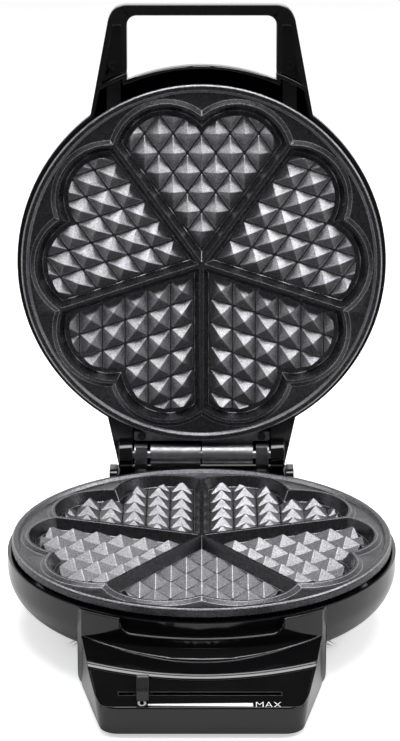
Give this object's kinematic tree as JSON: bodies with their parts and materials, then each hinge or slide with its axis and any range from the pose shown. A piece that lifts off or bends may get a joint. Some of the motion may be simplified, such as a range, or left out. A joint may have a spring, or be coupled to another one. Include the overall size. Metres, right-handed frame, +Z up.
{
  "type": "heart waffle maker",
  "caption": "Round electric heart waffle maker, lid open past upright: five-heart plates, loop handle, rear hinge and a sloped front console with a sliding temperature control.",
  "frame": {"origin": "middle of the bounding box in X and Y, on the table at the feet's underside", "axes": "+X to the user's right along the hinge, +Y from the control console to the hinge at the back, +Z up; the lid stands open at rest"},
  "size_m": [0.213, 0.3202, 0.3147],
  "materials": {
    "gloss_black": "glossy moulded phenolic, black",
    "satin_black": "satin, black",
    "panel_black": "smooth gloss insert with white printed scale",
    "plate_coating": "cast aluminium with dark grey non-stick coating, satin",
    "dark_steel": "steel, satin dark finish",
    "bare_steel": "zinc-plated or plain steel",
    "pale_insulator": "heat-proof insulating plastic",
    "foot_rubber": "matte",
    "lens_red": "clear tinted",
    "lens_green": "clear tinted"
  },
  "bodies": {
    "base": {"lower_housing": "gloss_black", "lower_plate": "plate_coating", "lower_heating_element": "bare_steel", "lower_reflector": "bare_steel", "housing_screws": "bare_steel", "front_console": "gloss_black", "console_cover": "satin_black", "cover_screws": "bare_steel", "control_panel": "panel_black", "thermostat": "bare_steel", "thermal_fuse": "bare_steel", "terminal_block": "pale_insulator", "cord_gland": "satin_black", "rubber_feet": "foot_rubber", "base_hinge_leaf": "dark_steel", "base_leaf_screws": "bare_steel"},
    "lid": {"hinge_pin": "bare_steel", "lid_hinge_leaf": "dark_steel", "lid_leaf_screws": "bare_steel", "lid_shell": "gloss_black", "lid_handle": "gloss_black", "handle_screws": "bare_steel", "upper_plate": "plate_coating", "upper_heating_element": "bare_steel", "upper_reflector": "bare_steel", "pan_screws": "bare_steel", "power_lens": "lens_red", "ready_lens": "lens_green"},
    "temperature_slider": {"slider_knob": "satin_black", "slider_carriage": "bare_steel"},
    "thermostat_lever": {"thermostat_lever": "bare_steel"}
  },
  "joints": [
    {"name": "lid_hinge", "type": "hinge", "parent": "base", "child": "lid", "pos_m": [0, 0.10393, 0.055], "axis": [1, 0, 0], "range_deg": [0, 96.5]},
    {"name": "temperature_slide", "type": "slide", "parent": "base", "child": "temperature_slider", "axis": [1, 0, 0], "range_m": [0, 0.062]},
    {"name": "lever_pivot", "type": "hinge", "parent": "base", "child": "thermostat_lever", "pos_m": [0.0012, -0.08607, 0.02], "axis": [0, 0, 1], "range_deg": [0, 63.6]}
  ],
  "couplings": [
    {"joint": "lever_pivot", "follows": "temperature_slide", "rad_per_m": 17.9}
  ]
}
